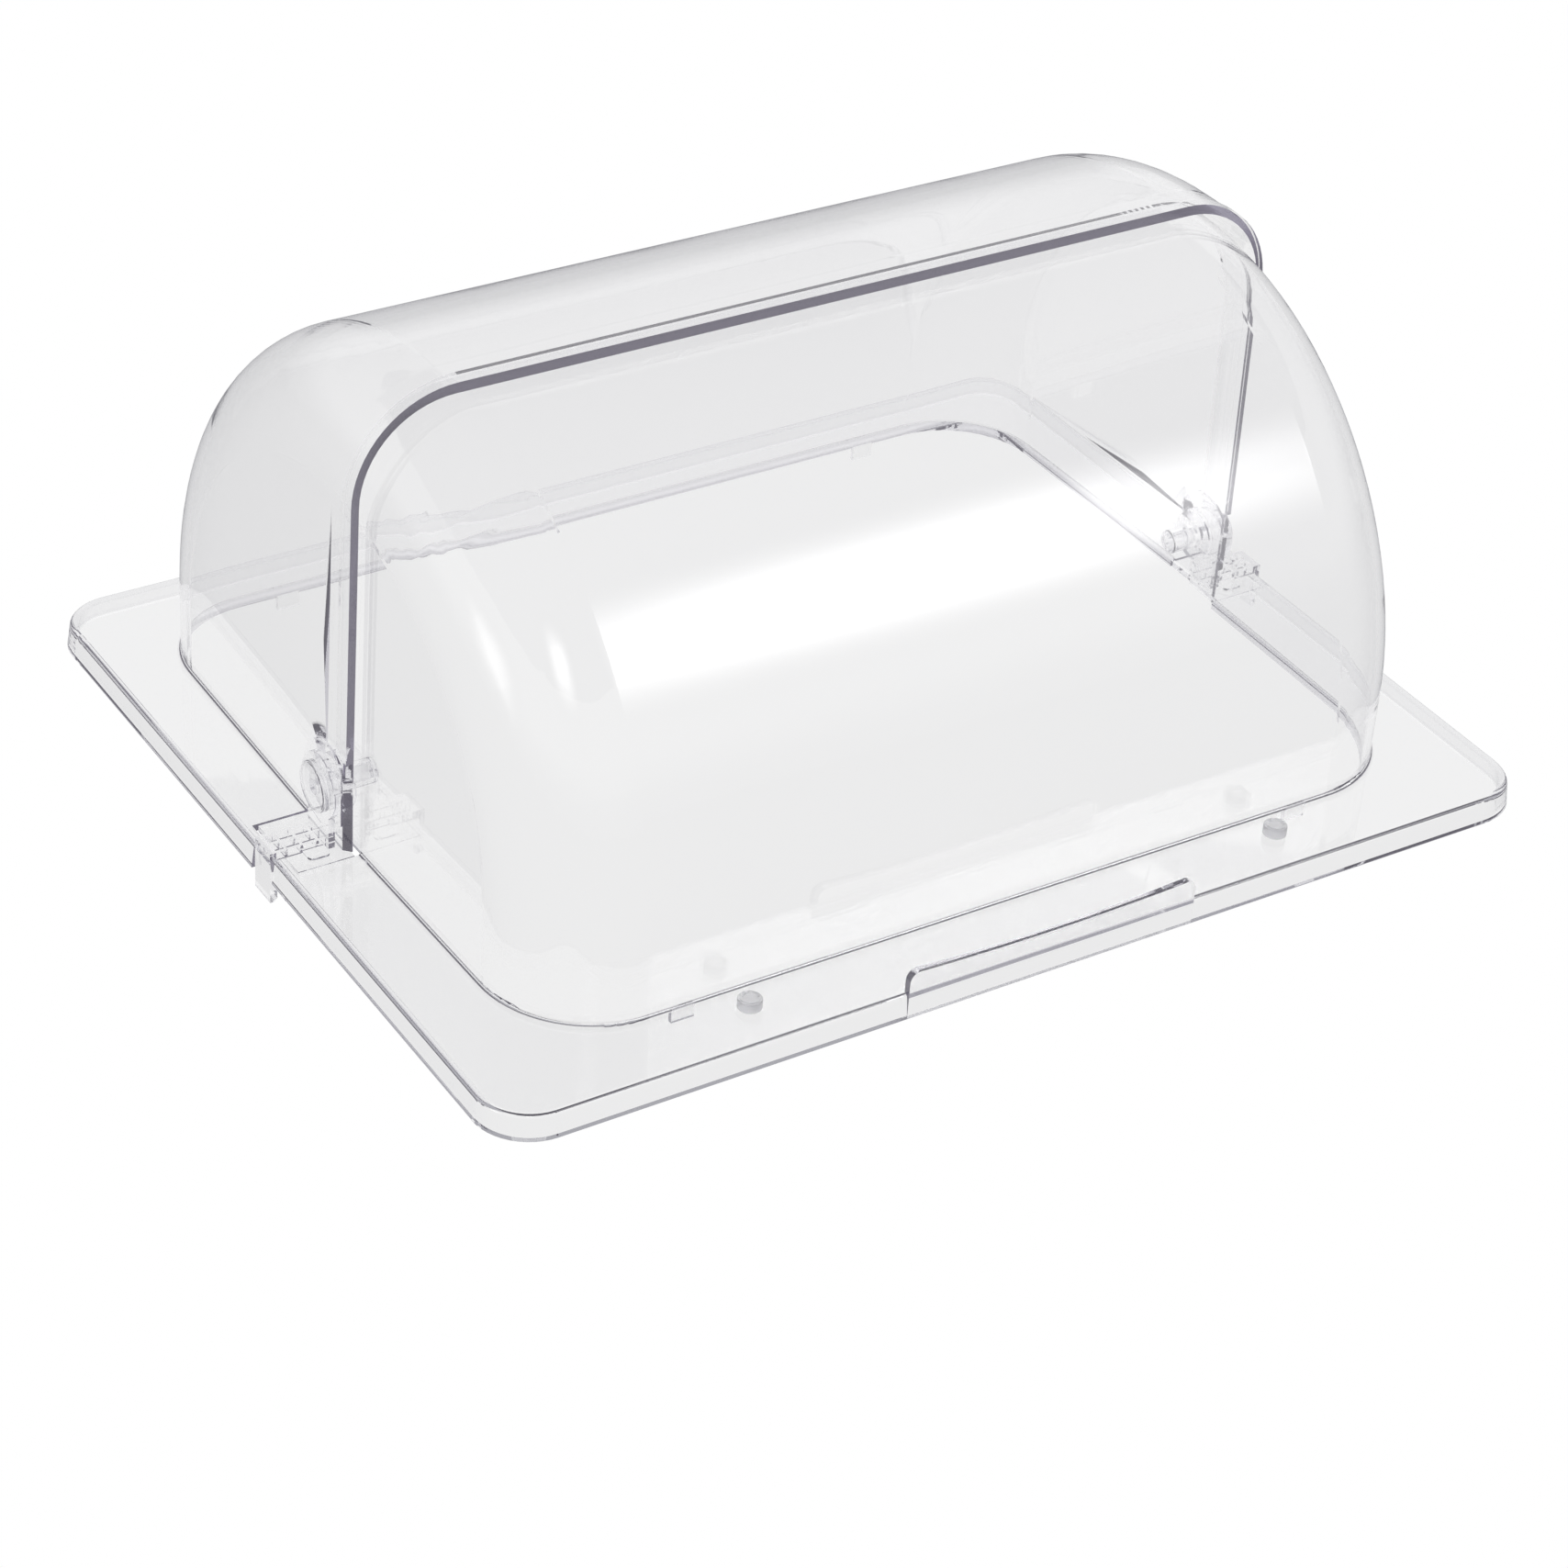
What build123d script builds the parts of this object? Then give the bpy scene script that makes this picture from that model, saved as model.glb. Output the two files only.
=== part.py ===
from build123d import *
import math
import os

# A clear roll-top food cover: a fixed rear shell, a front shell that swings up and back
# inside it, and two clip-on hinge brackets. Millimetres, +Z up. The front faces -Y, the
# hinge line runs along X, and Z = 0 is the lowest point of the two tray hooks.

# Rectangular flange that sits on the tray rim
flange_length = 440.0
flange_depth = 356.0
flange_corner_radius = 21.0
wall = 2.8
skirt_height = 10.0
skirt_flare = 1.3
shoulder_radius = 2.2
front_flange_inset = 1.8

# Barrel-shaped shells, each swept round an axis of its own along X
shell_end_inset = 27.0
rear_shell_radius = 153.4
rear_shell_corner = 39.0
front_shell_corner = 42.0
end_wall_lean = 2.5
nest_gap = 1.4
swing_gap = 0.6
base_fillet = 1.6
axis_height = 25.0
rear_axis_y = -1.0
front_axis_y = 2.7
rear_shell_overhang = 16.0
front_shell_setback = 7.2

# Hinge line, a little below the two axes and in front of them
hinge_height = 22.2
hinge_y = -3.2
notch_half_width = 16.6

# Thick rim along the front edge of the rear shell
rim_bead_width = 4.6
rim_bead_height = 1.2
rim_bead_side = 0.2
rim_foot_bevel = 2.5

# Finger lip on the front edge
grip_length = 121.0
grip_end_rise = 9.6
grip_middle_rise = 6.8
grip_corner_radius = 4.0

# Tabs that locate the cover in the tray mouth
tab_width = 9.0
tab_length = 6.0
tab_thickness = 1.8
tab_spacing = 262.0

# Soft round pads that meet the rim bead when the front is open
pad_diameter = 8.8
pad_height = 4.2
pad_spacing = 224.0
pad_gap = 6.6

# Hinge brackets
bracket_width = 12.0
bracket_gap = 0.3
notch_plate_gap = 0.8
hook_drop = 8.0
hook_thickness = 2.8
arm_rib_height = 3.0
arm_rib_thickness = 1.2
arm_cross_ribs = 4
upright_thickness = 2.5
upright_width = 16.0
upright_head_diameter = 25.0
tongue_width = 8.5
tongue_reach = 6.0
tongue_rise = 0.8
tongue_corner_radius = 2.1
tongue_setback = 17.0

# Pivots
pin_diameter = 6.0
pin_clearance = 0.08
pin_head_diameter = 19.4
pin_head_thickness = 2.7
rear_boss_diameter = 33.0
rear_boss_height = 1.0
front_ear_diameter = 21.0
front_boss_height = 0.9
face_gap = 0.3
seat_gap = 0.06
spacer_diameter = 12.2
spacer_thickness = 1.2
nut_diameter = 9.4
nut_length = 10.4
nut_end_thickness = 1.4

# Heights and places that follow from the sizes above
skirt_bottom = hook_drop
flange_top = skirt_bottom + skirt_height
hinge_z = flange_top + hinge_height
shell_drop = axis_height + wall
rear_half_length = flange_length / 2 - shell_end_inset
front_half_length = rear_half_length - wall - nest_gap
rear_inner_reach = rear_axis_y - hinge_y + rear_shell_radius - wall
front_shell_radius = rear_inner_reach - swing_gap - (axis_height - hinge_height)
rear_base_y = rear_axis_y + rear_shell_radius
front_base_y = front_axis_y - front_shell_radius
rear_rim_y = rear_axis_y - rear_shell_overhang
top_half_length = flange_length / 2 - skirt_flare
hook_outer_x = top_half_length
rear_boss_face = rear_half_length + rear_boss_height
upright_inner_x = rear_boss_face + face_gap
upright_outer_x = upright_inner_x + upright_thickness
front_boss_face = front_half_length - wall - front_boss_height
spacer_inner_x = front_boss_face - face_gap - spacer_thickness
nut_outer_x = spacer_inner_x - seat_gap
nut_inner_x = nut_outer_x - nut_length
pin_seat_x = upright_outer_x + seat_gap
pin_hole_radius = pin_diameter / 2 + pin_clearance
big = 2 * flange_length
tiny = 0.01
at_rear_axis = Pos(0, rear_axis_y, flange_top + axis_height)
at_front_axis = Pos(0, front_axis_y, flange_top + axis_height)


def slab(y_min, y_max, z_min, z_max, x_min=-big, x_max=big):
    """Block between two planes of Y and two of Z, in the cover's own frame."""
    size = Box(x_max - x_min, y_max - y_min, z_max - z_min)
    return Pos((x_min + x_max) / 2, (y_min + y_max) / 2, (z_min + z_max) / 2) * size


def disc(radius, x_min, x_max, y, z):
    """Round disc or pin lying along X."""
    length = x_max - x_min
    return Pos((x_min + x_max) / 2, y, z) * Rot(0, 90, 0) * Cylinder(radius, length)


def shell_profile(half_length, radius, corner):
    """Half section of a shell along its axis, with leaning ends and round corners."""
    lean = end_wall_lean * radius / rear_shell_radius
    outline = Polygon(
        (-half_length, 0),
        (half_length, 0),
        (half_length - lean, radius),
        (lean - half_length, radius),
        align=None,
    )
    far_corners = outline.vertices().sort_by(Axis.Y)[-2:]
    return fillet(far_corners, corner)


def quarter_barrel(half_length, radius, corner, forward, drop):
    """Solid quarter barrel behind its axis, run on straight forward and down."""
    profile = shell_profile(half_length, radius, corner)
    barrel = revolve(profile, axis=Axis.X, revolution_arc=90)
    lower = Pos(0, 0, -drop) * extrude(profile, drop)
    upright_profile = Rot(90, 0, 0) * profile
    front = extrude(upright_profile, forward, dir=(0, -1, 0))
    joint = Pos(0, -forward / 2, -drop / 2) * Box(2 * half_length, forward, drop)
    return barrel + lower + front + joint


def flange_block(half_length, half_depth, corner, bottom, top, flare):
    """Rounded block that widens downwards by the skirt's flare."""
    angle = math.degrees(math.atan(flare / skirt_height))
    spread = flare * (top - bottom) / skirt_height
    sketch = RectangleRounded(
        2 * (half_length - skirt_flare + spread),
        2 * (half_depth - skirt_flare + spread),
        corner,
    )
    return extrude(Pos(0, 0, bottom) * sketch, top - bottom, taper=angle)


def flange(inset):
    """Whole flange: a flat plate with a round shoulder and a downturned skirt."""
    half_length = flange_length / 2 - inset
    half_depth = flange_depth / 2
    outer = flange_block(
        half_length, half_depth, flange_corner_radius, skirt_bottom, flange_top, skirt_flare
    )
    shoulder = outer.faces().sort_by(Axis.Z)[-1].edges()
    outer = fillet(shoulder, shoulder_radius)
    inner = flange_block(
        half_length - wall,
        half_depth - wall,
        flange_corner_radius - wall,
        skirt_bottom,
        flange_top - wall,
        skirt_flare,
    )
    return outer - inner


def shell_on_flange(shell, half_length, base_y, side, inset):
    """Shell joined to its half of the flange, with a fillet at its foot and a hinge notch."""
    notch = hinge_y + side * notch_half_width
    rail_start = hinge_y + side * (bracket_width / 2 + bracket_gap)
    whole = flange(inset)
    y_min, y_max = sorted((notch, side * flange_depth))
    body = shell + (whole & slab(y_min, y_max, 0, hinge_z))
    foot = []
    for edge in body.edges().filter_by_position(Axis.Z, flange_top - tiny, flange_top + tiny):
        centre = edge.center()
        behind = side * (centre.Y - notch)
        reach = side * (base_y - notch)
        if tiny < behind < reach + tiny and abs(centre.X) < half_length + tiny:
            foot.append(edge)
    body = fillet(foot, base_fillet)
    y_min, y_max = sorted((rail_start, notch + side * wall))
    rail_inner_x = top_half_length - inset - wall - skirt_flare
    rails = whole & slab(y_min, y_max, 0, hinge_z)
    body = body + (rails - slab(y_min, y_max, 0, hinge_z, -rail_inner_x, rail_inner_x))
    y_min, y_max = sorted((notch, -side * flange_depth))
    edge_x = half_length + face_gap
    return body - slab(y_min, y_max, 0, flange_top, -edge_x, edge_x)


def locating_tabs(y_inner, side):
    """Two small tabs that hang from the flange's inner edge."""
    z_top = flange_top - wall / 2
    z_bottom = flange_top - wall - tab_length
    y_outer = y_inner + side * tab_thickness
    tabs = []
    for x in (-tab_spacing / 2, tab_spacing / 2):
        tabs.append(
            slab(
                min(y_inner, y_outer),
                max(y_inner, y_outer),
                z_bottom,
                z_top,
                x - tab_width / 2,
                x + tab_width / 2,
            )
        )
    return tabs[0] + tabs[1]


def rear_cover():
    """Fixed rear shell with its half of the flange, rim bead and pivot bosses."""
    outer = quarter_barrel(
        rear_half_length, rear_shell_radius, rear_shell_corner, rear_shell_overhang, shell_drop
    )
    bead = at_rear_axis * quarter_barrel(
        rear_half_length + rim_bead_side,
        rear_shell_radius + rim_bead_height,
        rear_shell_corner + rim_bead_height,
        rear_shell_overhang,
        axis_height,
    )
    bead_bottom = hinge_z + rear_boss_diameter / 2 - rim_bead_height
    bead = bead & slab(rear_rim_y, rear_rim_y + rim_bead_width, bead_bottom, big)
    cavity = quarter_barrel(
        rear_half_length - wall,
        rear_shell_radius - wall,
        rear_shell_corner - wall,
        rear_shell_overhang + wall,
        shell_drop,
    )
    body = shell_on_flange(at_rear_axis * outer, rear_half_length, rear_base_y, 1, 0) + bead
    foot_height = bead_bottom - flange_top
    foot_side = rim_foot_bevel * math.sqrt(2)
    for side in (-1, 1):
        near, far = sorted((side * (rear_half_length - wall), side * rear_boss_face))
        boss = disc(rear_boss_diameter / 2, near, far, hinge_y, hinge_z)
        body = body + (boss & slab(rear_rim_y, big, 0, big))
        corner = Pos(side * rear_half_length, rear_rim_y, flange_top + foot_height / 2)
        body = body - corner * Rot(0, 0, 45) * Box(foot_side, foot_side, foot_height)
    body = body - at_rear_axis * cavity
    body = body - disc(pin_hole_radius, -big, big, hinge_y, hinge_z)
    return body + locating_tabs(rear_base_y - wall, 1)


def grip_lip():
    """Upright finger lip on the front edge, lower in the middle than at its ends."""
    half = grip_length / 2
    end_z = flange_top + grip_end_rise
    middle_z = flange_top + grip_middle_rise
    bottom = Line((half, skirt_bottom), (-half, skirt_bottom))
    left = Line((-half, skirt_bottom), (-half, end_z))
    top = ThreePointArc((-half, end_z), (0, middle_z), (half, end_z))
    right = Line((half, end_z), (half, skirt_bottom))
    face = make_face([bottom, left, top, right])
    face = fillet(face.vertices().sort_by(Axis.Y)[-2:], grip_corner_radius)
    plate = extrude(Rot(90, 0, 0) * face, wall, dir=(0, -1, 0))
    return Pos(0, wall - flange_depth / 2, 0) * plate


def front_cover():
    """Swinging front shell with its half of the flange, grip and pivot ears."""
    turn = Rot(0, 0, 180)
    outer = turn * quarter_barrel(
        front_half_length, front_shell_radius, front_shell_corner, wall, shell_drop
    )
    cavity = turn * quarter_barrel(
        front_half_length - wall,
        front_shell_radius - wall,
        front_shell_corner - wall,
        wall,
        shell_drop,
    )
    shell = at_front_axis * (outer & slab(-big, -front_shell_setback, -big, big))
    body = shell_on_flange(shell, front_half_length, front_base_y, -1, front_flange_inset)
    body = body + grip_lip() - at_front_axis * cavity
    for side in (-1, 1):
        near, far = sorted((side * front_boss_face, side * front_half_length))
        body = body + disc(front_ear_diameter / 2, near, far, hinge_y, hinge_z)
    body = body - disc(pin_hole_radius, -big, big, hinge_y, hinge_z)
    return body + locating_tabs(front_base_y + wall, -1)


def hinge_bracket():
    """Left bracket: plate in the notch, hook, ribbed arm, upright and round tongue."""
    y_min = hinge_y - bracket_width / 2
    y_max = hinge_y + bracket_width / 2
    arm_inner_x = rear_half_length - wall + face_gap
    plate_bottom = flange_top - wall
    plate_top = flange_top - face_gap
    rib_top = flange_top + arm_rib_height
    plate_outer_x = top_half_length - front_flange_inset - wall - skirt_flare - bracket_gap
    plate_reach = notch_half_width - notch_plate_gap
    base = slab(y_min, y_max, plate_bottom, plate_top, -hook_outer_x, -arm_inner_x)
    base = base + slab(
        hinge_y - plate_reach,
        hinge_y + plate_reach,
        plate_bottom,
        plate_top,
        -plate_outer_x,
        -arm_inner_x,
    )
    hook_inner_x = hook_outer_x - hook_thickness
    hook = slab(y_min, y_max, 0, rib_top, -hook_outer_x, -hook_inner_x)
    lead_in = hook.edges().filter_by(Axis.Y).sort_by(Axis.Z)[:2].sort_by(Axis.X)[-1:]
    hook = chamfer(lead_in, hook_thickness / 2)
    bracket = base + hook
    rib_span = hook_outer_x - upright_inner_x
    for y in (y_min, hinge_y - arm_rib_thickness / 2, y_max - arm_rib_thickness):
        bracket = bracket + slab(
            y, y + arm_rib_thickness, plate_bottom, rib_top, -hook_outer_x, -upright_inner_x
        )
    for index in range(arm_cross_ribs):
        x = -hook_outer_x + rib_span * index / arm_cross_ribs
        bracket = bracket + slab(y_min, y_max, plate_bottom, rib_top, x, x + arm_rib_thickness)
    head = disc(
        upright_head_diameter / 2, -upright_outer_x, -upright_inner_x, hinge_y, hinge_z
    )
    stem_min = hinge_y - upright_width / 2
    stem_max = hinge_y + upright_width / 2
    stem = slab(stem_min, stem_max, plate_bottom, hinge_z, -upright_outer_x, -upright_inner_x)
    tongue_x = tongue_setback - hook_outer_x
    tongue = slab(
        y_min - tongue_reach,
        y_min + wall,
        plate_bottom,
        plate_top + tongue_rise,
        tongue_x - tongue_width / 2,
        tongue_x + tongue_width / 2,
    )
    tongue_corners = tongue.edges().filter_by(Axis.Z).sort_by(Axis.Y)[:2]
    tongue = fillet(tongue_corners, tongue_corner_radius)
    bracket = bracket + head + stem + tongue
    return bracket - disc(pin_hole_radius, -big, big, hinge_y, hinge_z)


def pivot_pin():
    """Left pivot pin: broad round head outside, plain shank through both shells."""
    head_outer_x = pin_seat_x + pin_head_thickness
    shank_start = pin_seat_x + pin_head_thickness / 2
    head = disc(pin_head_diameter / 2, -head_outer_x, -pin_seat_x, hinge_y, hinge_z)
    rim = head.edges().filter_by(GeomType.CIRCLE).sort_by(Axis.X)[0]
    head = fillet(rim, pin_head_thickness / 3)
    shank_end = nut_inner_x + nut_end_thickness + face_gap
    return head + disc(pin_diameter / 2, -shank_start, -shank_end, hinge_y, hinge_z)


def spacer_ring():
    """Left plain ring between the front shell and the cap nut."""
    start = -(spacer_inner_x + spacer_thickness)
    ring = disc(spacer_diameter / 2, start, -spacer_inner_x, hinge_y, hinge_z)
    return ring - disc(pin_hole_radius, -big, big, hinge_y, hinge_z)


def cap_nut():
    """Left closed round nut on the inner end of the pin."""
    nut = disc(nut_diameter / 2, -nut_outer_x, -nut_inner_x, hinge_y, hinge_z)
    rim = nut.edges().filter_by(GeomType.CIRCLE).sort_by(Axis.X)[-1]
    nut = fillet(rim, nut_end_thickness / 2)
    bore_end = -(nut_inner_x + nut_end_thickness)
    return nut - disc(pin_hole_radius, -big, bore_end, hinge_y, hinge_z)


def stop_pad(side):
    """Soft pad stuck to the top of the front flange."""
    pad_y = front_base_y - pad_gap - pad_diameter / 2
    place = Pos(side * pad_spacing / 2, pad_y, flange_top + seat_gap + pad_height / 2)
    pad = place * Cylinder(pad_diameter / 2, pad_height)
    rim = pad.edges().filter_by(GeomType.CIRCLE).sort_by(Axis.Z)[-1]
    return fillet(rim, pad_height / 4)


def save(name, shape):
    shape.label = name
    export_step(shape, f"parts/{name}.step")


def save_pair(name, shape):
    save(f"{name}_left", shape)
    save(f"{name}_right", mirror(shape, about=Plane.YZ))


os.makedirs("parts", exist_ok=True)
save("rear_cover", rear_cover())
save("front_cover", front_cover())
save_pair("hinge_bracket", hinge_bracket())
save_pair("pivot_pin", pivot_pin())
save_pair("spacer_ring", spacer_ring())
save_pair("cap_nut", cap_nut())
save("stop_pad_left", stop_pad(-1))
save("stop_pad_right", stop_pad(1))
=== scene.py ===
import math

import bpy
from bpy.props import FloatProperty, IntProperty, PointerProperty, StringProperty
from mathutils import Matrix, Vector


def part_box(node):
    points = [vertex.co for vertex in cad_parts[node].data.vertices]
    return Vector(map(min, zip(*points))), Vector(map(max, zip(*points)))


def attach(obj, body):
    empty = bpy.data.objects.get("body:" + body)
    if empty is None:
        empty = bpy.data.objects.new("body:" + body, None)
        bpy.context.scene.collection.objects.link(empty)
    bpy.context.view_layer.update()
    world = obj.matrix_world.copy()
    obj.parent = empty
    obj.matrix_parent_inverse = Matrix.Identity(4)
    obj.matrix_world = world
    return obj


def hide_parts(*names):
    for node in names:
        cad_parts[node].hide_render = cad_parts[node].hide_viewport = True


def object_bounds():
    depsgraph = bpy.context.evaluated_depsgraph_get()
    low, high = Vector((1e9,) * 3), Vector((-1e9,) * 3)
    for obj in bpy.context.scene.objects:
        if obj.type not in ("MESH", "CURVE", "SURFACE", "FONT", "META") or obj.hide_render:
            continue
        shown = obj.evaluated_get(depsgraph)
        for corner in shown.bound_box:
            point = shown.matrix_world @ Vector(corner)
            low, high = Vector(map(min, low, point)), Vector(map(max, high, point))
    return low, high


bl_info = {
    "name": "Roll-top Food Cover",
    "version": (1, 0, 0),
    "blender": (4, 5, 0),
    "location": "View3D > Sidebar > Food Cover",
    "description": "Clear plastics, pads and studio for a roll-top food cover",
    "category": "Object",
}

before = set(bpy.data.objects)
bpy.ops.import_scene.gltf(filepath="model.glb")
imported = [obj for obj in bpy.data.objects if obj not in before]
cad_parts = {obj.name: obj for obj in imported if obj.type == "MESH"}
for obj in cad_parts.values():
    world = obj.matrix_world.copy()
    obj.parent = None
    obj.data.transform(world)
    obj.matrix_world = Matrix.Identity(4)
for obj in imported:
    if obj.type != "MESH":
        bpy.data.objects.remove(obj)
CAD_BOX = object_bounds()

MM = 0.001
SHELLS = ("rear_cover", "front_cover")
FITTINGS = tuple(
    f"{name}_{side}"
    for name in ("hinge_bracket", "pivot_pin", "spacer_ring", "cap_nut")
    for side in ("left", "right")
)
PADS = ("stop_pad_left", "stop_pad_right")

# Plastics
POLYCARBONATE_IOR = 1.585
SILICONE_IOR = 1.41
FLOW_SIZE = 45 * MM
HAZIEST_ROUGHNESS = 0.03
SHELL_WAVE = 0.12 * MM
FITTING_WAVE = 0.1 * MM
GRAIN_SIZE = 0.6 * MM
GRAIN_HEIGHT = 0.05 * MM

# Form of a stop pad, as shares of its radius and of its height
RING_PLACE = 0.72
RING_HALF_WIDTH = 0.16
EDGE_START = 0.9
EDGE_FALL = 8.0
TOP_SHARE = 0.49

# Studio, in metres and degrees
FLOOR_REACH = 12.0
FLOOR_GAP = 1 * MM
HORIZON_TONE = "#a4a4a8"
THROUGH_TONE = "#f1f1f1"
TENT_TONE = "#f8f8fa"
TENT_RADIUS = 5.0
TENT_FADE_HEIGHT = 1.8
CEILING_TONE = "#a8a8ae"
CEILING_RADIUS = 5.2
CEILING_START = 35.0
CARD_AIM = Vector((0, 0, 0.1))
CARD_DISTANCE = 2.0
LONGEST_PATH = 64
GLOSSY_PATH = 12

# Softboxes: direction, width, height, strength and turn
SOFTBOXES = {
    "key_softbox": ((0.47, -0.64, 0.605), 2.0, 2.1, 8.0, -27.0),
    "left_softbox": ((-0.38, -0.66, 0.64), 1.3, 1.6, 5.0, 0.0),
    "side_softbox": ((-0.92, -0.10, 0.26), 1.8, 1.4, 3.5, 0.0),
}

# Camera, fitted to the edges of the flange and the shells
CAMERA_AZIMUTH = -34.29
CAMERA_ELEVATION = 34.47
CAMERA_ROLL = 4.23
CAMERA_PLACE = (-0.7442, -1.0956, 0.8866)
FOCAL_PIXELS = 4581.07
IMAGE_PIXELS = 1708
SENSOR_WIDTH = 36.0


def linear(colour):
    """Linear RGBA of an sRGB hex colour."""
    values = [int(colour[i : i + 2], 16) / 255 for i in (1, 3, 5)]
    toned = [v / 12.92 if v <= 0.04045 else ((v + 0.055) / 1.055) ** 2.4 for v in values]
    return (*toned, 1.0)


def add_node(tree, kind, inputs=None, **settings):
    """Node with its settings; each input is a value or an output socket to link."""
    node = tree.nodes.new(kind)
    for name, value in settings.items():
        setattr(node, name, value)
    for key, value in (inputs or {}).items():
        socket = node.inputs[key]
        if isinstance(value, bpy.types.NodeSocket):
            tree.links.new(value, socket)
        else:
            socket.default_value = value
    return node


def maths(tree, operation, *values):
    """Output of a maths node on sockets or numbers."""
    node = add_node(tree, "ShaderNodeMath", dict(enumerate(values)), operation=operation)
    return node.outputs[0]


def new_material(name):
    """Empty node material and its output node."""
    material = bpy.data.materials.new(name)
    material.use_nodes = True
    material.node_tree.nodes.clear()
    output = add_node(material.node_tree, "ShaderNodeOutputMaterial")
    return material, material.node_tree, output


def clear_polycarbonate(name, finish, wave):
    """Injection-moulded polycarbonate: water clear, glossy, and grey only in its depth.

    Long paths inside the wall, as at a cut edge or a silhouette, come out grey: the plastic
    takes light away, and a painted glow inside the wall gives light back to them.
    """
    material, tree, output = new_material(name)
    coordinates = add_node(tree, "ShaderNodeTexCoord")
    flow = add_node(
        tree,
        "ShaderNodeTexNoise",
        {"Vector": coordinates.outputs["Object"], "Scale": 1 / FLOW_SIZE, "Detail": 1.0},
    )
    bump = add_node(
        tree,
        "ShaderNodeBump",
        {"Height": flow.outputs["Fac"], "Distance": wave, "Strength": 0.25},
    )
    roughness = add_node(
        tree,
        "ShaderNodeMapRange",
        {"Value": flow.outputs["Fac"], "To Min": 0.0, "To Max": HAZIEST_ROUGHNESS},
    )
    plastic = add_node(
        tree,
        "ShaderNodeBsdfPrincipled",
        {
            "Base Color": linear("#ffffff"),
            "Roughness": roughness.outputs["Result"],
            "IOR": POLYCARBONATE_IOR,
            "Transmission Weight": 1.0,
            "Normal": bump.outputs["Normal"],
        },
    )
    body = add_node(
        tree,
        "ShaderNodeVolumeAbsorption",
        {"Color": linear(finish.shell_tint), "Density": finish.shell_depth},
    )
    # Painted glow: the volume emits a grey-violet light of its own, so cut edges and silhouettes
    # show a lighter grey; no lamp gives this light
    painted_glow = add_node(
        tree,
        "ShaderNodeEmission",
        {"Color": linear(finish.painted_glow_tone), "Strength": finish.painted_glow_strength},
    )
    # The volume: real absorption of the plastic plus the painted glow
    depth = add_node(tree, "ShaderNodeAddShader", {0: body.outputs[0], 1: painted_glow.outputs[0]})
    tree.links.new(plastic.outputs["BSDF"], output.inputs["Surface"])
    tree.links.new(depth.outputs[0], output.inputs["Volume"])
    return material


def soft_silicone(name):
    """Cast clear silicone: milky, satin, lets light through without a clear image."""
    material, tree, output = new_material(name)
    coordinates = add_node(tree, "ShaderNodeTexCoord")
    grain = add_node(
        tree,
        "ShaderNodeTexNoise",
        {"Vector": coordinates.outputs["Object"], "Scale": 1 / GRAIN_SIZE, "Detail": 2.0},
    )
    bump = add_node(
        tree,
        "ShaderNodeBump",
        {"Height": grain.outputs["Fac"], "Distance": GRAIN_HEIGHT, "Strength": 0.3},
    )
    gel = add_node(
        tree,
        "ShaderNodeBsdfPrincipled",
        {
            "Base Color": linear("#f2f2f4"),
            "Roughness": 0.25,
            "IOR": SILICONE_IOR,
            "Transmission Weight": 0.85,
            "Normal": bump.outputs["Normal"],
        },
    )
    tree.links.new(gel.outputs["BSDF"], output.inputs["Surface"])
    return material


def paint_nodes(names, material):
    """Gives CAD nodes their finish and lets light pass, as it does through clear plastic."""
    for name in names:
        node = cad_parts[name]
        node.data.materials.clear()
        node.data.materials.append(material)
        node.visible_shadow = False


class FoodCoverFinish(bpy.types.PropertyGroup):
    shell_tint: StringProperty(
        name="Shell tint",
        description="Colour that a long path in the shell takes",
        default="#b6b6ba",
    )
    shell_depth: FloatProperty(
        name="Shell depth", description="Absorption of the shell per metre", default=14.0
    )
    # Painted glow of the shell's volume: the grey it lends to cut edges and silhouettes, though
    # no lamp gives that light
    painted_glow_tone: StringProperty(
        name="Painted glow tone", description="Grey that a cut edge of the shell shows", default="#85818e"
    )
    # Strength of the painted glow per metre of path inside the plastic
    painted_glow_strength: FloatProperty(
        name="Painted glow strength", description="Light that the haze gives back per metre", default=8.5
    )
    pad_diameter: FloatProperty(
        name="Pad diameter",
        description="Outside diameter of a stop pad",
        default=8.8 * MM,
        unit="LENGTH",
        subtype="DISTANCE",
    )
    pad_height: FloatProperty(
        name="Pad height",
        description="Height of a stop pad with its ring",
        default=4.1 * MM,
        unit="LENGTH",
        subtype="DISTANCE",
    )
    pad_ring_rise: FloatProperty(
        name="Pad ring rise",
        description="How far the ring stands above the pad",
        default=0.45 * MM,
        unit="LENGTH",
        subtype="DISTANCE",
    )
    pad_count: IntProperty(
        name="Pad count", description="Stop pads in a row on the front flange", default=2
    )


class FOODCOVER_OT_shells(bpy.types.Operator):
    """Clear plastic of the rear and front shells."""

    bl_idname = "foodcover.shells"
    bl_label = "Finish Shells"

    def execute(self, context):
        finish = context.scene.food_cover_finish
        plastic = clear_polycarbonate("moulded_clear_polycarbonate", finish, SHELL_WAVE)
        paint_nodes(SHELLS, plastic)
        return {"FINISHED"}


class FOODCOVER_OT_fittings(bpy.types.Operator):
    """Clear plastic of the brackets, pins, rings and nuts."""

    bl_idname = "foodcover.fittings"
    bl_label = "Finish Fittings"

    def execute(self, context):
        finish = context.scene.food_cover_finish
        plastic = clear_polycarbonate("moulded_clear_fitting", finish, FITTING_WAVE)
        paint_nodes(FITTINGS, plastic)
        return {"FINISHED"}


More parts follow.
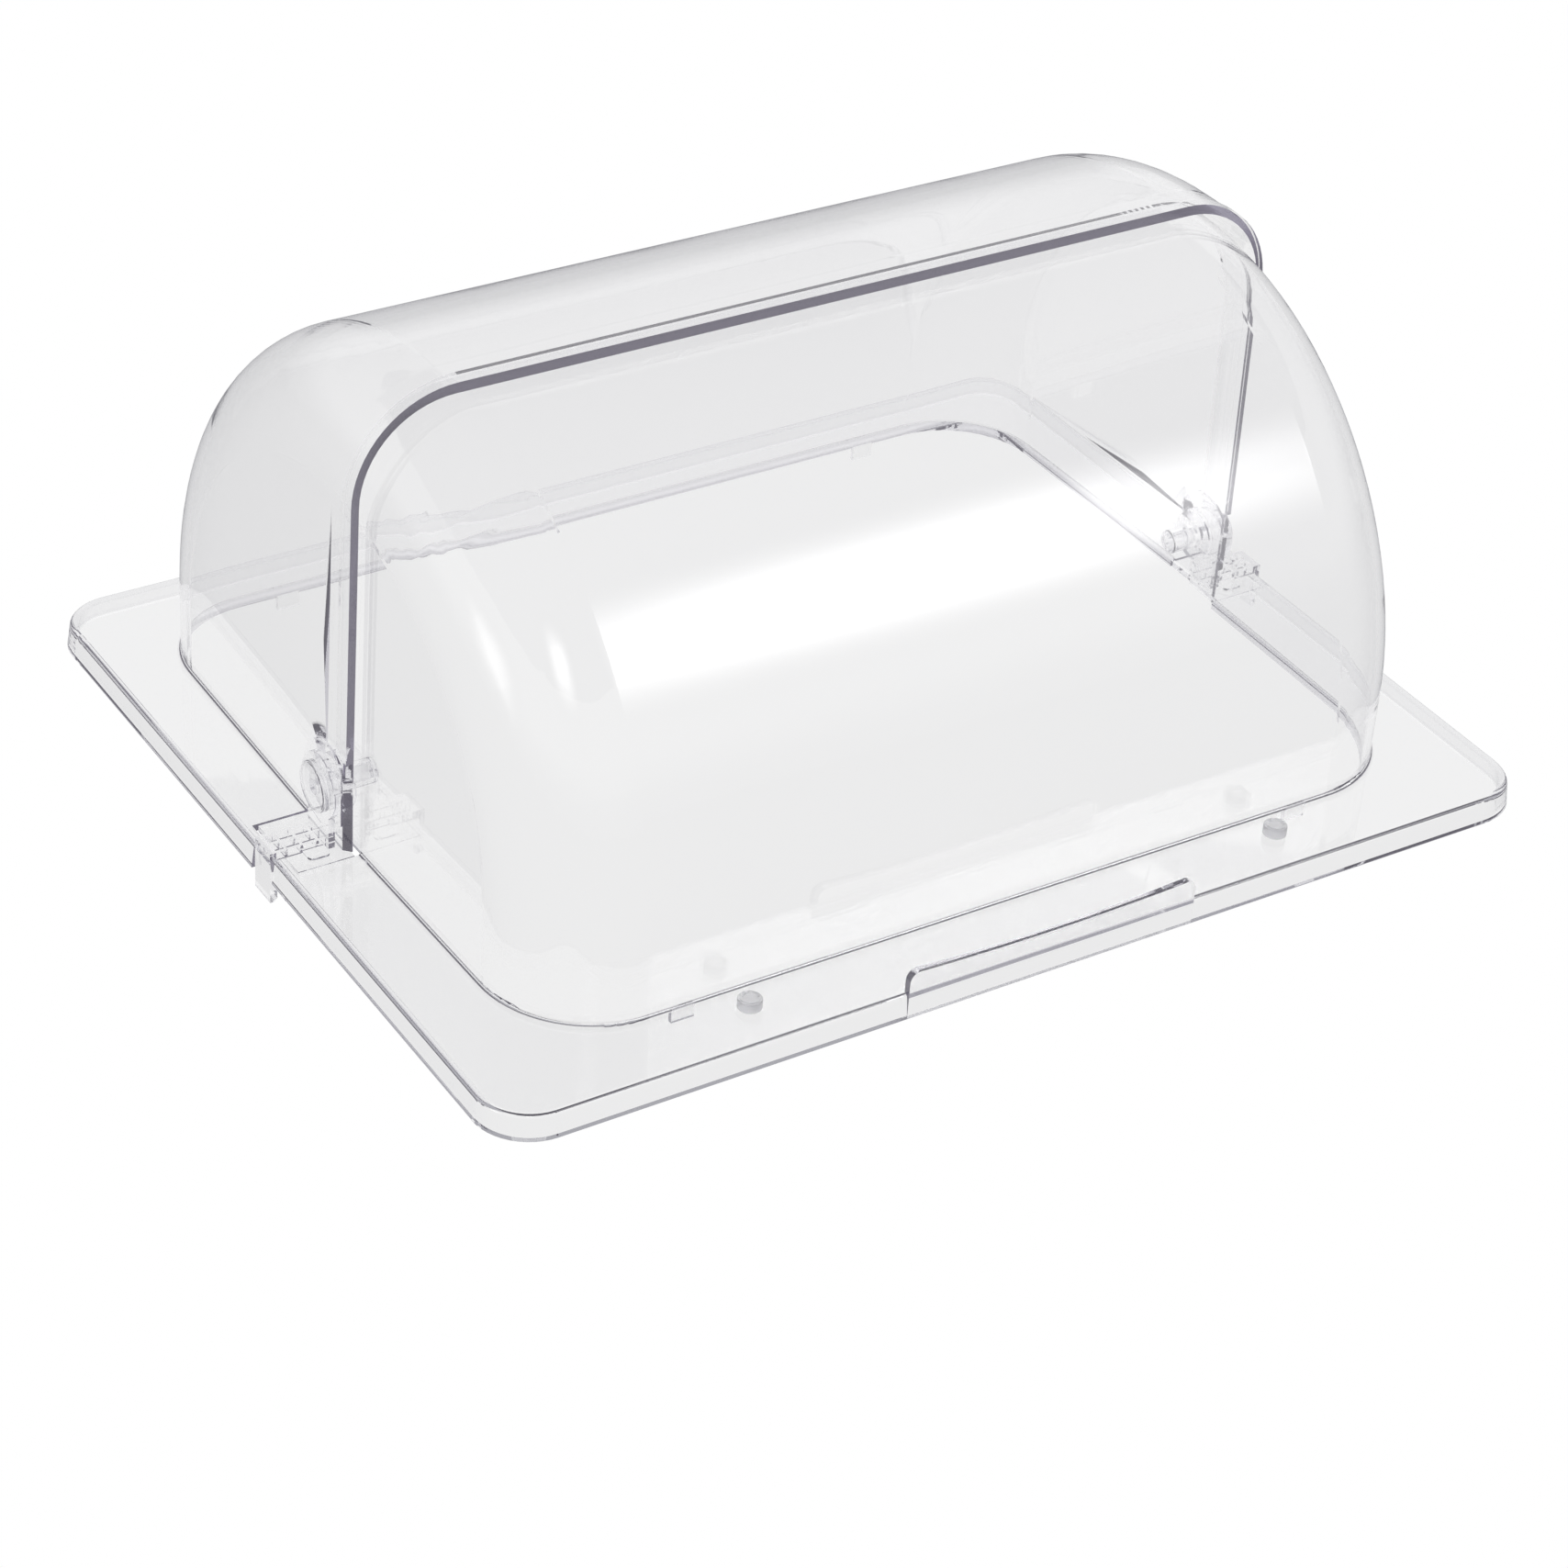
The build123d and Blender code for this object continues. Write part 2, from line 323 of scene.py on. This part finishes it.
def pad_lift(tree, parts, radius, ring_rise):
    """Offset that raises a ring on a pad's flat top and rounds its edge down."""
    flat = add_node(
        tree, "ShaderNodeCombineXYZ", {"X": parts.outputs["X"], "Y": parts.outputs["Y"]}
    )
    reach = add_node(tree, "ShaderNodeVectorMath", {0: flat.outputs[0]}, operation="LENGTH")
    share = maths(tree, "DIVIDE", reach.outputs["Value"], radius)
    from_ring = maths(tree, "DIVIDE", maths(tree, "SUBTRACT", share, RING_PLACE), RING_HALF_WIDTH)
    hump = maths(tree, "SUBTRACT", 1.0, maths(tree, "MULTIPLY", from_ring, from_ring))
    rise = maths(tree, "MULTIPLY", maths(tree, "MAXIMUM", hump, 0.0), ring_rise)
    past_edge = maths(tree, "MAXIMUM", maths(tree, "SUBTRACT", share, EDGE_START), 0.0)
    fall = maths(tree, "MULTIPLY", maths(tree, "MULTIPLY", past_edge, past_edge), radius)
    fall = maths(tree, "MULTIPLY", fall, EDGE_FALL)
    return add_node(tree, "ShaderNodeCombineXYZ", {"Z": maths(tree, "SUBTRACT", rise, fall)})


def pad_row_tree():
    """Geometry Nodes: a row of round pads, each with a soft edge and a raised ring."""
    tree = bpy.data.node_groups.new("stop_pad_row", "GeometryNodeTree")
    sockets = (
        ("Spacing", "NodeSocketFloat"),
        ("Diameter", "NodeSocketFloat"),
        ("Height", "NodeSocketFloat"),
        ("Ring Rise", "NodeSocketFloat"),
        ("Count", "NodeSocketInt"),
        ("Material", "NodeSocketMaterial"),
    )
    for name, kind in sockets:
        tree.interface.new_socket(name, in_out="INPUT", socket_type=kind)
    tree.interface.new_socket("Geometry", in_out="OUTPUT", socket_type="NodeSocketGeometry")
    given = add_node(tree, "NodeGroupInput").outputs
    radius = maths(tree, "MULTIPLY", given["Diameter"], 0.5)
    body_height = maths(tree, "SUBTRACT", given["Height"], given["Ring Rise"])
    disc = add_node(
        tree,
        "GeometryNodeMeshCylinder",
        {
            "Vertices": 64,
            "Side Segments": 4,
            "Fill Segments": 24,
            "Radius": radius,
            "Depth": body_height,
        },
    )
    place = add_node(tree, "GeometryNodeInputPosition")
    parts = add_node(tree, "ShaderNodeSeparateXYZ", {0: place.outputs[0]})
    lift = pad_lift(tree, parts, radius, given["Ring Rise"])
    top = add_node(
        tree,
        "FunctionNodeCompare",
        {"A": parts.outputs["Z"], "B": maths(tree, "MULTIPLY", body_height, TOP_SHARE)},
        operation="GREATER_THAN",
    )
    shaped = add_node(
        tree,
        "GeometryNodeSetPosition",
        {
            "Geometry": disc.outputs["Mesh"],
            "Selection": top.outputs["Result"],
            "Offset": lift.outputs[0],
        },
    )
    smooth = add_node(tree, "GeometryNodeSetShadeSmooth", {"Geometry": shaped.outputs[0]})
    gaps = maths(tree, "SUBTRACT", given["Count"], 1)
    row_length = maths(tree, "MULTIPLY", given["Spacing"], gaps)
    start = add_node(
        tree,
        "ShaderNodeCombineXYZ",
        {
            "X": maths(tree, "MULTIPLY", row_length, -0.5),
            "Z": maths(tree, "MULTIPLY", body_height, 0.5),
        },
    )
    step = add_node(tree, "ShaderNodeCombineXYZ", {"X": given["Spacing"]})
    row = add_node(
        tree,
        "GeometryNodeMeshLine",
        {"Count": given["Count"], "Start Location": start.outputs[0], "Offset": step.outputs[0]},
    )
    pads = add_node(
        tree,
        "GeometryNodeInstanceOnPoints",
        {"Points": row.outputs["Mesh"], "Instance": smooth.outputs[0]},
    )
    real = add_node(tree, "GeometryNodeRealizeInstances", {"Geometry": pads.outputs[0]})
    painted = add_node(
        tree,
        "GeometryNodeSetMaterial",
        {"Geometry": real.outputs[0], "Material": given["Material"]},
    )
    add_node(tree, "NodeGroupOutput", {"Geometry": painted.outputs[0]})
    return tree


def grown(name, tree, values):
    """Plain mesh object that a Geometry Nodes tree makes from these named values."""
    seed = bpy.data.objects.new(name, bpy.data.meshes.new(name))
    bpy.context.scene.collection.objects.link(seed)
    modifier = seed.modifiers.new("shape", "NODES")
    modifier.node_group = tree
    for item in tree.interface.items_tree:
        if item.in_out == "INPUT":
            modifier[item.identifier] = values[item.name]
    evaluated = seed.evaluated_get(bpy.context.evaluated_depsgraph_get())
    mesh = bpy.data.meshes.new_from_object(evaluated)
    seed.modifiers.clear()
    seed.data = mesh
    return seed


class FOODCOVER_OT_pads(bpy.types.Operator):
    """Soft pads with a raised ring, in a row on the front flange."""

    bl_idname = "foodcover.pads"
    bl_label = "Build Stop Pads"

    def execute(self, context):
        finish = context.scene.food_cover_finish
        (left_low, left_high), (right_low, right_high) = (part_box(name) for name in PADS)
        values = {
            "Spacing": right_low.x - left_low.x,
            "Diameter": finish.pad_diameter,
            "Height": finish.pad_height,
            "Ring Rise": finish.pad_ring_rise,
            "Count": finish.pad_count,
            "Material": soft_silicone("cast_clear_silicone"),
        }
        pads = grown("stop_pad_row", pad_row_tree(), values)
        pads.location = (
            (left_low.x + right_high.x) / 2,
            (left_low.y + left_high.y) / 2,
            left_low.z,
        )
        pads.visible_shadow = False
        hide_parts(*PADS)
        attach(pads, "front_shell")
        return {"FINISHED"}


def stage_mesh(name, points, faces, material):
    """Mesh that belongs to the studio and not to the cover."""
    mesh = bpy.data.meshes.new(name)
    mesh.from_pydata(points, [], faces)
    mesh.materials.append(material)
    obj = bpy.data.objects.new(name, mesh)
    bpy.context.scene.collection.objects.link(obj)
    return obj


def seen_only_by(obj, *kinds):
    """Limits an object of the studio to these kinds of ray."""
    for kind in ("camera", "diffuse", "glossy", "transmission", "volume_scatter", "shadow"):
        setattr(obj, f"visible_{kind}", kind in kinds)


def paper_sweep(name, glossy_tone, through_tone):
    """White paper sweep: white to the eye, grey in gloss and off-white through plastic."""
    material, tree, output = new_material(name)
    paths = add_node(tree, "ShaderNodeLightPath")
    surface = add_node(tree, "ShaderNodeBsdfDiffuse", {"Color": linear("#e9e9e9")})
    tones = (
        ("Is Glossy Ray", glossy_tone),
        ("Is Transmission Ray", through_tone),
        ("Is Camera Ray", "#ffffff"),
    )
    for ray, tone in tones:
        seen = add_node(tree, "ShaderNodeEmission", {"Color": linear(tone), "Strength": 1.0})
        surface = add_node(
            tree,
            "ShaderNodeMixShader",
            {0: paths.outputs[ray], 1: surface.outputs[0], 2: seen.outputs[0]},
        )
    tree.links.new(surface.outputs[0], output.inputs["Surface"])
    return material


def flat_glow(name, tone):
    """Even glow of one tone."""
    material, tree, output = new_material(name)
    glow = add_node(tree, "ShaderNodeEmission", {"Color": linear(tone), "Strength": 1.0})
    tree.links.new(glow.outputs[0], output.inputs["Surface"])
    return material


def graded_glow(name, low_tone, high_tone, full_height):
    """Glow that goes from the floor's tone at the horizon to a paler one higher up."""
    material, tree, output = new_material(name)
    coordinates = add_node(tree, "ShaderNodeTexCoord")
    place = add_node(tree, "ShaderNodeSeparateXYZ", {0: coordinates.outputs["Object"]})
    share = add_node(
        tree,
        "ShaderNodeMapRange",
        {"Value": place.outputs["Z"], "From Min": 0.0, "From Max": full_height},
        interpolation_type="SMOOTHERSTEP",
    )
    # A colour mix takes its two colours at inputs 6 and 7 and gives them at output 2
    tone = add_node(
        tree,
        "ShaderNodeMix",
        {0: share.outputs["Result"], 6: linear(low_tone), 7: linear(high_tone)},
        data_type="RGBA",
    )
    glow = add_node(tree, "ShaderNodeEmission", {"Color": tone.outputs[2], "Strength": 1.0})
    tree.links.new(glow.outputs[0], output.inputs["Surface"])
    return material


def tent(name, radius, low, material):
    """Part of a dome from an angle above the horizon up to the top."""
    rings = 16
    around = 48
    points = []
    for i in range(rings):
        height = math.radians(low + (90 - low) * i / rings)
        flat = radius * math.cos(height)
        for j in range(around):
            turn = 2 * math.pi * j / around
            points.append(
                (flat * math.cos(turn), flat * math.sin(turn), radius * math.sin(height))
            )
    points.append((0, 0, radius))
    faces = []
    for i in range(rings - 1):
        for j in range(around):
            k = (j + 1) % around
            faces.append(
                (i * around + j, i * around + k, (i + 1) * around + k, (i + 1) * around + j)
            )
    last = (rings - 1) * around
    for j in range(around):
        faces.append((last + j, last + (j + 1) % around, rings * around))
    return stage_mesh(name, points, faces, material)


def card_glow(name, strength):
    """Glow that fades from the middle of a card to nothing at its edges."""
    material, tree, output = new_material(name)
    coordinates = add_node(tree, "ShaderNodeTexCoord")
    split = add_node(tree, "ShaderNodeSeparateXYZ", {0: coordinates.outputs["UV"]})
    fades = []
    for axis in (0, 1):
        from_middle = maths(tree, "SUBTRACT", split.outputs[axis], 0.5)
        fade = add_node(
            tree,
            "ShaderNodeMapRange",
            {
                "Value": maths(tree, "ABSOLUTE", from_middle),
                "From Min": 0.5,
                "From Max": 0.0,
                "To Min": 0.0,
                "To Max": 1.0,
            },
            interpolation_type="SMOOTHERSTEP",
        )
        fades.append(fade.outputs["Result"])
    fade = maths(tree, "POWER", maths(tree, "MULTIPLY", *fades), 2.0)
    glow = add_node(
        tree,
        "ShaderNodeEmission",
        {"Color": linear("#ffffff"), "Strength": maths(tree, "MULTIPLY", fade, strength)},
    )
    clear = add_node(tree, "ShaderNodeBsdfTransparent")
    mix = add_node(
        tree, "ShaderNodeMixShader", {0: fade, 1: clear.outputs[0], 2: glow.outputs[0]}
    )
    tree.links.new(mix.outputs[0], output.inputs["Surface"])
    return material


def softbox(name, direction, width, height, strength, turn):
    """Lit card that faces the cover and is seen only in its gloss."""
    away = Vector(direction).normalized()
    centre = CARD_AIM + away * CARD_DISTANCE
    across = away.cross(Vector((0, 0, 1))).normalized()
    upward = across.cross(away)
    spin = Matrix.Rotation(math.radians(turn), 3, away)
    across = spin @ across * width / 2
    upward = spin @ upward * height / 2
    corners = [
        centre - across - upward,
        centre + across - upward,
        centre + across + upward,
        centre - across + upward,
    ]
    card = stage_mesh(name, corners, [(0, 1, 2, 3)], card_glow(name, strength))
    layer = card.data.uv_layers.new(name="card")
    for loop, place in zip(layer.data, ((0, 0), (1, 0), (1, 1), (0, 1))):
        loop.uv = place
    seen_only_by(card, "glossy")


def studio_world():
    """White backdrop for what is seen, and a plain soft level for the light."""
    world = bpy.data.worlds.new("studio")
    world.use_nodes = True
    tree = world.node_tree
    tree.nodes.clear()
    output = add_node(tree, "ShaderNodeOutputWorld")
    paths = add_node(tree, "ShaderNodeLightPath").outputs
    seen = maths(tree, "MAXIMUM", paths["Is Camera Ray"], paths["Is Glossy Ray"])
    seen = maths(tree, "MAXIMUM", seen, paths["Is Transmission Ray"])
    soft = add_node(tree, "ShaderNodeBackground", {"Color": linear("#ffffff"), "Strength": 0.6})
    white = add_node(tree, "ShaderNodeBackground", {"Color": linear("#ffffff"), "Strength": 1.0})
    mix = add_node(
        tree, "ShaderNodeMixShader", {0: seen, 1: soft.outputs[0], 2: white.outputs[0]}
    )
    tree.links.new(mix.outputs[0], output.inputs["Surface"])
    bpy.context.scene.world = world


def photo_camera():
    """Camera fitted to the photographed edges of the flange and the shells."""
    azimuth = math.radians(CAMERA_AZIMUTH)
    elevation = math.radians(CAMERA_ELEVATION)
    roll = math.radians(CAMERA_ROLL)
    back = Vector(
        (
            math.sin(azimuth) * math.cos(elevation),
            -math.cos(azimuth) * math.cos(elevation),
            math.sin(elevation),
        )
    )
    right = Vector((math.cos(azimuth), math.sin(azimuth), 0))
    up = back.cross(right)
    rolled_right = right * math.cos(roll) + up * math.sin(roll)
    rolled_up = up * math.cos(roll) - right * math.sin(roll)
    data = bpy.data.cameras.new("photo_camera")
    data.sensor_width = SENSOR_WIDTH
    data.lens = FOCAL_PIXELS * SENSOR_WIDTH / IMAGE_PIXELS
    data.clip_start = 0.05
    data.clip_end = 50
    camera = bpy.data.objects.new("photo_camera", data)
    turn = Matrix((rolled_right, rolled_up, back)).transposed().to_4x4()
    camera.matrix_world = Matrix.Translation(CAMERA_PLACE) @ turn
    bpy.context.scene.collection.objects.link(camera)
    bpy.context.scene.camera = camera


class FOODCOVER_OT_stage(bpy.types.Operator):
    """White sweep, pale tent, grey ceiling, softboxes, world and camera."""

    bl_idname = "foodcover.stage"
    bl_label = "Build Studio"

    def execute(self, context):
        scene = context.scene
        scene.view_settings.view_transform = "Standard"
        scene.cycles.max_bounces = LONGEST_PATH
        scene.cycles.transmission_bounces = LONGEST_PATH
        scene.cycles.glossy_bounces = GLOSSY_PATH
        corners = [
            (-FLOOR_REACH, -FLOOR_REACH, 0),
            (FLOOR_REACH, -FLOOR_REACH, 0),
            (FLOOR_REACH, FLOOR_REACH, 0),
            (-FLOOR_REACH, FLOOR_REACH, 0),
        ]
        paper = paper_sweep("white_paper", HORIZON_TONE, THROUGH_TONE)
        floor = stage_mesh("floor", corners, [(0, 1, 2, 3)], paper)
        floor.location.z = CAD_BOX[0].z - FLOOR_GAP
        cloth = graded_glow("pale_cloth", HORIZON_TONE, TENT_TONE, TENT_FADE_HEIGHT)
        walls = tent("pale_tent", TENT_RADIUS, 0.0, cloth)
        seen_only_by(walls, "glossy")
        grey_cloth = flat_glow("grey_cloth", CEILING_TONE)
        ceiling = tent("grey_ceiling", CEILING_RADIUS, CEILING_START, grey_cloth)
        seen_only_by(ceiling, "transmission")
        for name, settings in SOFTBOXES.items():
            softbox(name, *settings)
        studio_world()
        photo_camera()
        return {"FINISHED"}


class FOODCOVER_PT_panel(bpy.types.Panel):
    bl_label = "Food Cover"
    bl_idname = "FOODCOVER_PT_panel"
    bl_space_type = "VIEW_3D"
    bl_region_type = "UI"
    bl_category = "Food Cover"

    def draw(self, context):
        finish = context.scene.food_cover_finish
        for name in FoodCoverFinish.__annotations__:
            self.layout.prop(finish, name)
        for operator in OPERATORS:
            self.layout.operator(operator.bl_idname)


OPERATORS = (FOODCOVER_OT_shells, FOODCOVER_OT_fittings, FOODCOVER_OT_pads, FOODCOVER_OT_stage)
CLASSES = (FoodCoverFinish, *OPERATORS, FOODCOVER_PT_panel)


def register():
    for cls in CLASSES:
        bpy.utils.register_class(cls)
    bpy.types.Scene.food_cover_finish = PointerProperty(type=FoodCoverFinish)


def unregister():
    del bpy.types.Scene.food_cover_finish
    for cls in reversed(CLASSES):
        bpy.utils.unregister_class(cls)


def main():
    register()
    bpy.ops.foodcover.shells()
    bpy.ops.foodcover.fittings()
    bpy.ops.foodcover.pads()
    bpy.ops.foodcover.stage()


if __name__ == "__main__":
    main()
